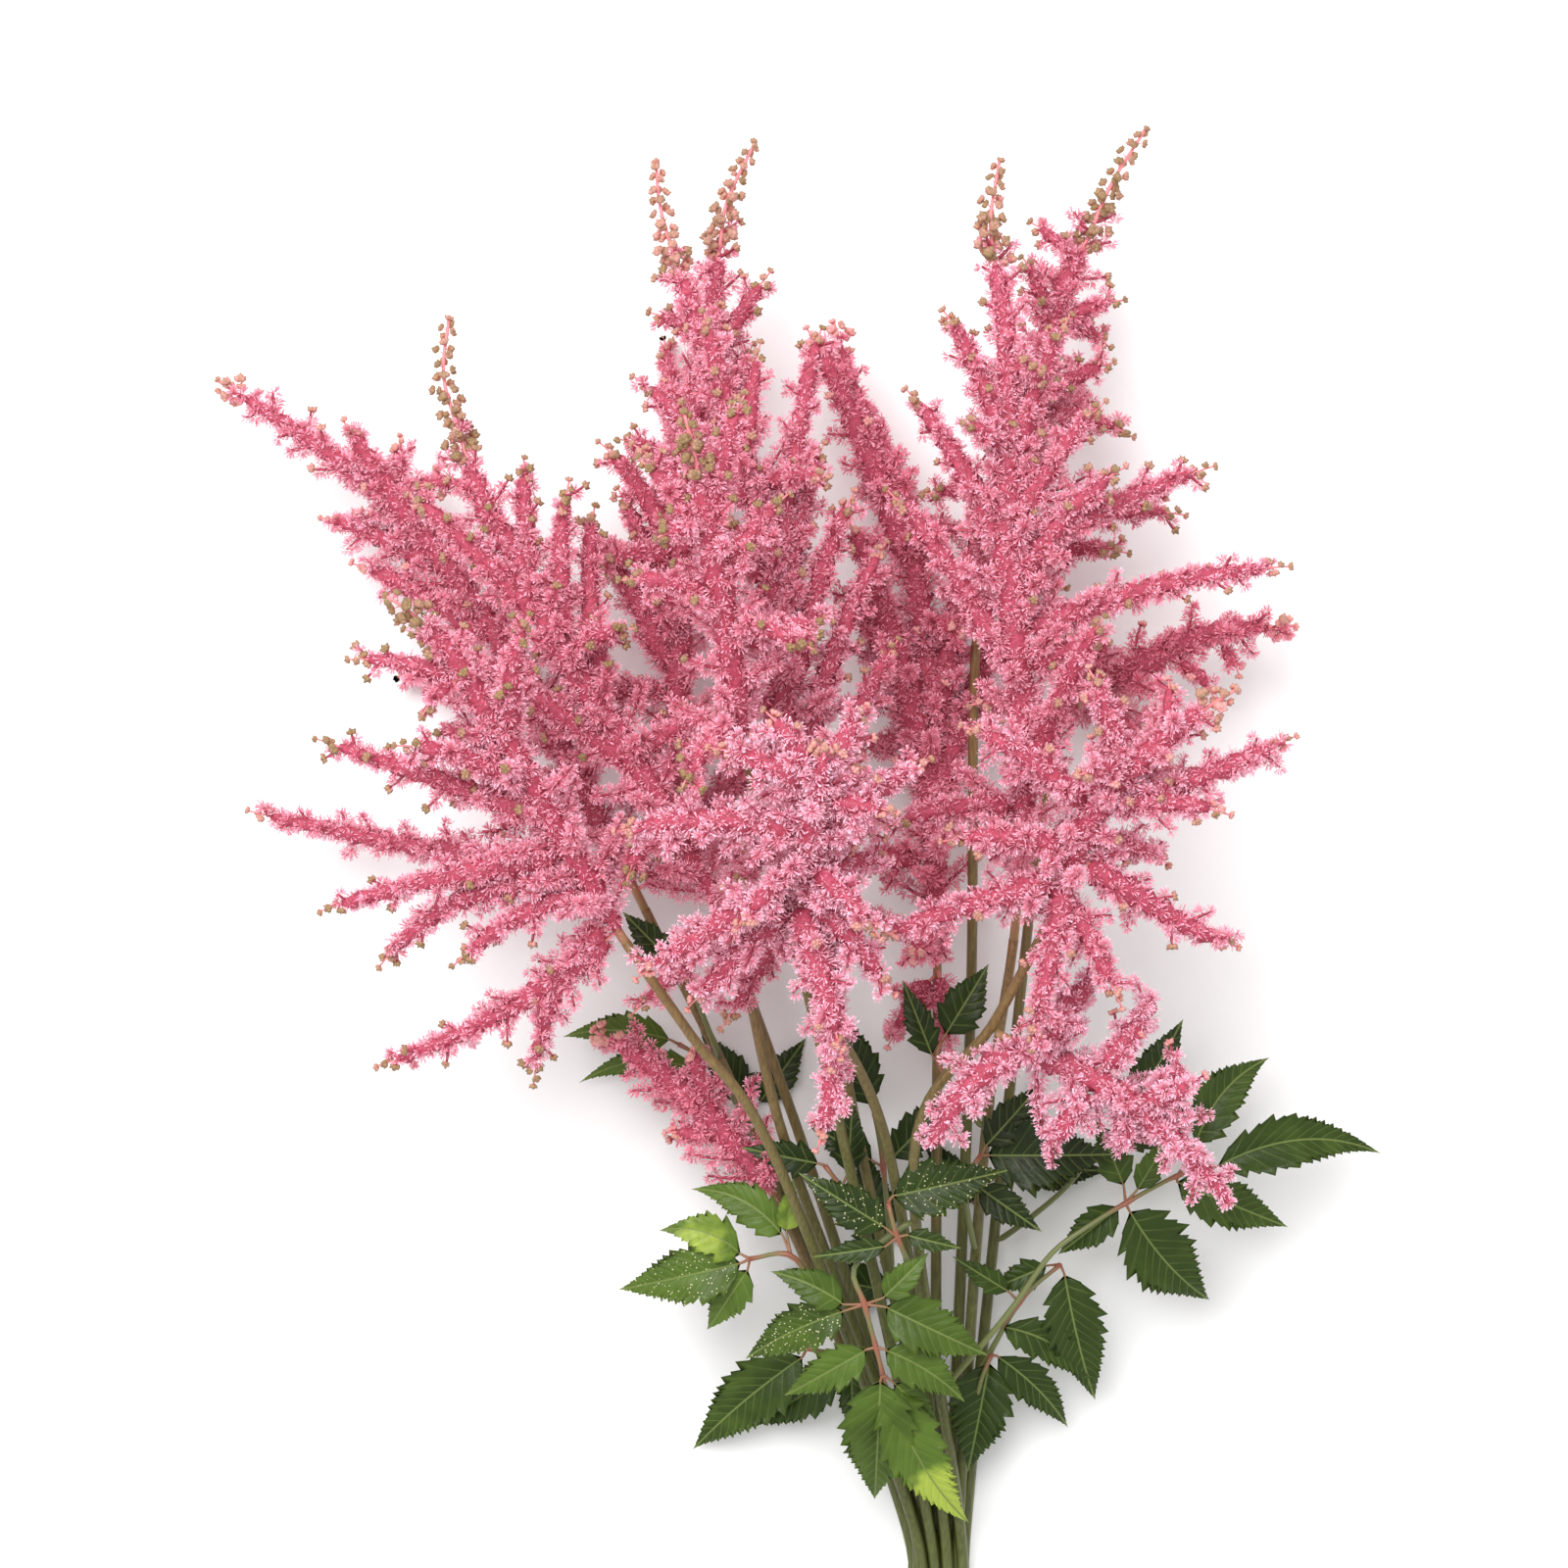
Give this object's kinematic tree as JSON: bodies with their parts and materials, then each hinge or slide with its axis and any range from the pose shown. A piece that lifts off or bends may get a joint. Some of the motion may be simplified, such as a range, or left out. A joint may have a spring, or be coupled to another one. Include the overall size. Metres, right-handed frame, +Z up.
{
  "type": "cut astilbe bunch",
  "caption": "Loose bunch of cut astilbe lying on a surface: feathery pink plumes fan out from a narrow sheaf of stems with toothed compound leaves.",
  "frame": {"origin": "centre of the bunch's outline seen from above, on the surface that it lies on", "axes": "+Y from the cut stem ends to the flower tips, +Z up from the surface, +X to the right seen from above with the tips away from the viewer"},
  "size_m": [0.5151, 0.7022, 0.2383],
  "materials": {
    "stem": "smooth green plant stem",
    "floret": "soft matte petals",
    "leaf": "leathery semi-gloss leaf"
  },
  "bodies": {
    "root": {"stem_far_left": "stem", "stem_left": "stem", "stem_left_front": "stem", "stem_centre_left": "stem", "stem_centre": "stem", "stem_centre_front": "stem", "stem_front": "stem", "stem_back": "stem", "stem_right": "stem", "stem_right_back": "stem", "stem_right_front": "stem", "stem_far_right": "stem", "stem_low_left": "stem", "plume_far_left": "floret", "plume_left": "floret", "plume_left_front": "floret", "plume_centre_left": "floret", "plume_centre": "floret", "plume_centre_front": "floret", "plume_front": "floret", "plume_back": "floret", "plume_right": "floret", "plume_right_back": "floret", "plume_right_front": "floret", "plume_far_right": "floret", "plume_side_spray": "floret", "plume_low_left": "floret", "leaf_left": "leaf", "leaf_front": "leaf", "leaf_low_left": "leaf", "leaf_centre": "leaf", "leaf_back_left": "leaf", "leaf_back_right": "leaf", "leaf_right": "leaf", "leaf_low_right": "leaf", "leaf_low_centre": "leaf", "leaf_upper_left": "leaf", "leaf_upper_right": "leaf", "leaf_far_left": "leaf", "leaf_right_back": "leaf", "leaf_middle": "leaf", "leaf_under": "leaf", "leaf_behind": "leaf", "leaf_behind_right": "leaf"}
  },
  "joints": []
}
